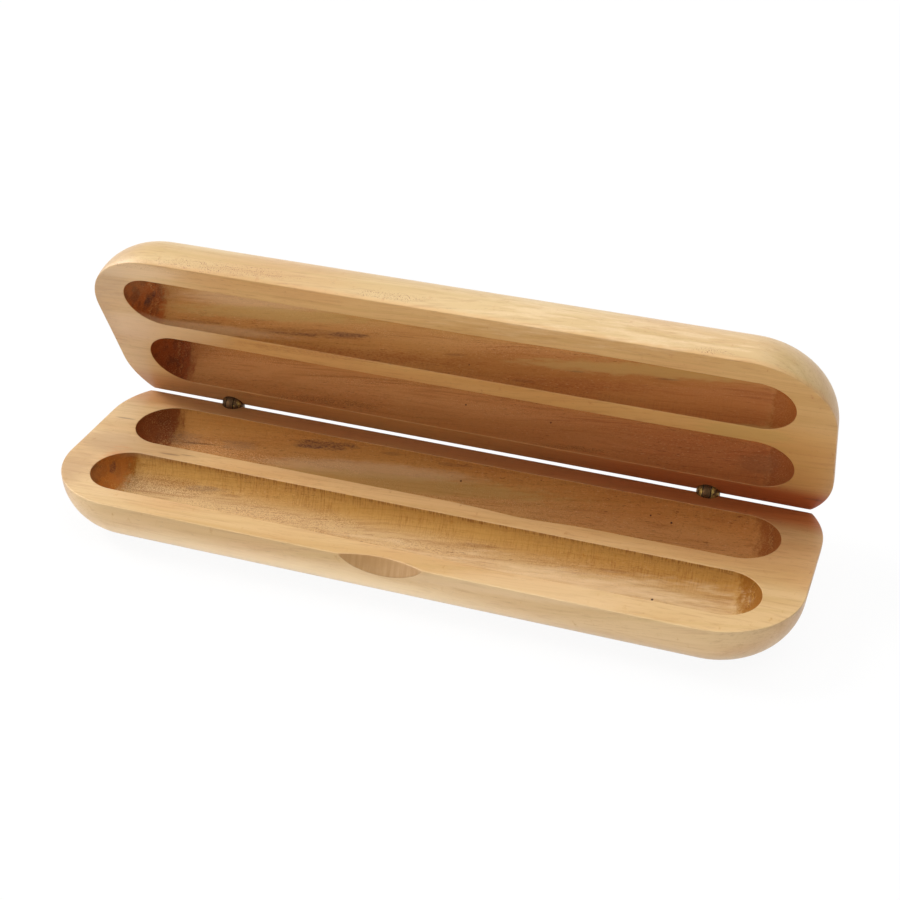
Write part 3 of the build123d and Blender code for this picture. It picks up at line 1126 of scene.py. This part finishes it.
def makeWood(name, place, grain, marks):
    # Pale hardwood whose grain runs along the block with a slight lean, in the layers above, then
    # with its single marks. The scoop of the notch is duller and faintly ribbed.
    look = woodLook
    material = bpy.data.materials.new(name)
    tree = emptyTree(material)
    field = woodFields(tree, place, grain)
    warmer = product(tree, field["warmEnds"], field["warmCloud"])
    # The floor colour and the left ends' colour carry painted shade.
    shades = {**look, **grain,
              "floor": blended(tree, field["backWell"], *grain["floors"]),
              "leftEndGrainAndShade": blended(tree, warmer, look["endDark"], look["endWarm"]),
              "endTint": blended(tree, field["backWell"], *grain["ends"])}
    colour = look["pale"]
    for shade, how, *shares in woodLayers:
        share = product(tree, *(field[name] for name in shares))
        colour = blended(tree, share, colour, shades[shade], how)
    for kind, *row in marks:
        grains = field["fuzz" if kind in ("torn", "fleck") else "granules"]
        middle, halves = placedMark(grain["lean"], *row)
        share = markShare(tree, field, grains, middle, halves, markLooks[kind])
        colour = blended(tree, share, colour, markLooks[kind]["colour"])
    scoop = product(tree, field["inNotch"], field["ribbed"])
    colour = blended(tree, scoop, colour, look["notch"])
    polish = addNode(tree, "Mix", {0: field["inWell"], 2: look["roughness"], 3: look["wellRoughness"]},
                     data_type="FLOAT").outputs[0]
    shader = addNode(tree, "BsdfPrincipled", {
        "Base Color": colour, "Roughness": calculate(tree, "ADD", polish, field["polish"]),
        "Normal": woodRelief(tree, field), "Specular IOR Level": look["specular"],
        "Coat Roughness": look["coatRoughness"], "Coat Weight": field["coat"]})
    putOut(tree, shader)
    return material


baseWood = makeWood("baseHardwood", Matrix.Identity(4), blockGrain["base"], baseMarks)
lidWood = makeWood("lidHardwood", lidPlace, blockGrain["lid"], lidMarks)
for piece, wood in ((base, baseWood), (lid, lidWood)):
    piece.data.materials.clear()
    piece.data.materials.append(wood)
print("wood made")


brassLook = {
    "gold": tint(150, 122, 66),
    "bronze": tint(78, 56, 36),
    "dark": tint(34, 25, 20),
    "roughness": 0.38,
}


def makeBrass(name, patina, seed):
    # Brass under a brown patina that is worn back to gold in patches, more so at low patina.
    look = brassLook
    material = bpy.data.materials.new(name)
    tree = emptyTree(material)
    place = addNode(tree, "TexCoord").outputs["Object"]
    inMm = stretched(tree, place, (1 / mm, 1 / mm, 1 / mm), (seed, 2 * seed, 0))
    cloudy = speckle(tree, stretched(tree, inMm, (0.9, 0.9, 0.9)), detail=4.0, roughness=0.6)
    fine = speckle(tree, stretched(tree, inMm, (4.0, 4.0, 4.0)), detail=3.0)
    worn = remap(tree, cloudy, patina, patina + 0.2)
    colour = blended(tree, worn, look["bronze"], look["gold"])
    colour = blended(tree, remap(tree, fine, 0.55, 0.75, 0.0, 0.8), colour, look["dark"])
    polish = remap(tree, cloudy, 0.3, 0.7, look["roughness"] + 0.15, look["roughness"] - 0.06)
    bump = addNode(tree, "Bump", {"Height": fine, "Strength": 0.25, "Distance": 0.02 * mm})
    shader = addNode(tree, "BsdfPrincipled", {
        "Base Color": colour, "Metallic": 1.0, "Roughness": polish, "Normal": bump.outputs[0]})
    putOut(tree, shader)
    return material


forkBrass = makeBrass("wornBrass", 0.38, 3.0)
tongueBrass = makeBrass("darkBrass", 0.6, 11.0)
pinBrass = makeBrass("pinBrass", 0.45, 23.0)

hingeBrass = {
    "hinge_fork_left": makeBrass("brownBrass", 0.5, 3.0),
    "hinge_fork_right": forkBrass,
    "hinge_tongue_left": tongueBrass,
    "hinge_tongue_right": tongueBrass,
    "hinge_pin_left": pinBrass,
    "hinge_pin_right": pinBrass,
}
for node, brass in hingeBrass.items():
    piece = frame["nodes"][node]
    piece.data.materials.clear()
    piece.data.materials.append(brass)
print("hinges finished")


# Studio: a white floor and soft lamps, the strongest from the left

studio = {
    "floorSize": 4.0,
    "floorColour": (0.93, 0.93, 0.93, 1.0),
    "floorGlow": 0.93,  # share of the floor that the camera sees without shadow
    "world": 0.10,
    "distance": 4.0,    # of every lamp from the middle of the box
    "lamps": [          # degrees round from the front to the right, degrees up, metres, watts
        ("left", 274, 45, 1.1, 69),
        ("leftBack", 257, 28, 1.0, 46),
        ("frontLeft", 315, 18, 1.4, 40),
        ("frontRight", 60, 60, 1.6, 28),
        ("top", 0, 90, 3.8, 88),
        ("back", 180, 50, 1.7, 17),
    ],
}


def mirrorRays(tree):
    # 1 for what the camera sees, straight or in a reflection, and 0 for light on the object.
    rays = addNode(tree, "LightPath").outputs
    either = calculate(tree, "MAXIMUM", rays["Is Camera Ray"], rays["Is Glossy Ray"])
    return calculate(tree, "MAXIMUM", either, rays["Is Transmission Ray"])


def makeFloor():
    # A plain sheet that the camera sees as white but for part of the shadow on it.
    half = studio["floorSize"] / 2
    mesh = bpy.data.meshes.new("floor")
    mesh.from_pydata([(-half, -half, 0), (half, -half, 0), (half, half, 0), (-half, half, 0)],
                     [], [(0, 1, 2, 3)])
    floor = newObject("floor", mesh)
    material = bpy.data.materials.new("whiteSheet")
    tree = emptyTree(material)
    diffuse = addNode(tree, "BsdfDiffuse", {"Color": studio["floorColour"]})
    glow = addNode(tree, "Emission", {"Color": (1, 1, 1, 1), "Strength": 1.0})
    seen = mixedShaders(tree, studio["floorGlow"], diffuse, glow)
    putOut(tree, mixedShaders(tree, mirrorRays(tree), diffuse, seen))
    mesh.materials.append(material)


def makeWorld():
    # Soft light from all round, and plain white where the camera looks past the floor.
    world = bpy.data.worlds.new("studioWorld")
    bpy.context.scene.world = world
    tree = emptyTree(world)
    soft = addNode(tree, "Background", {"Color": (1, 1, 1, 1), "Strength": studio["world"]})
    white = addNode(tree, "Background", {"Color": (1, 1, 1, 1), "Strength": 1.0})
    putOut(tree, mixedShaders(tree, mirrorRays(tree), soft, white), "OutputWorld")


def makeLamps():
    # Square soft boxes on a sphere round the box, all facing its middle.
    aim = Vector((0, 0, 0.02))
    for name, azimuth, height, size, watts in studio["lamps"]:
        azimuth, height = radians(azimuth), radians(height)
        level = cos(height)
        direction = Vector((sin(azimuth) * level, -cos(azimuth) * level, sin(height)))
        data = bpy.data.lights.new(name, "AREA")
        data.shape, data.size, data.energy = "SQUARE", size, watts
        light = newObject(name, data)
        light.location = aim + studio["distance"] * direction
        light.rotation_mode = "QUATERNION"
        light.rotation_quaternion = (-direction).to_track_quat("-Z", "Y")


makeFloor()
makeWorld()
makeLamps()
bpy.context.scene.view_settings.view_transform = "Standard"
print("studio lit")
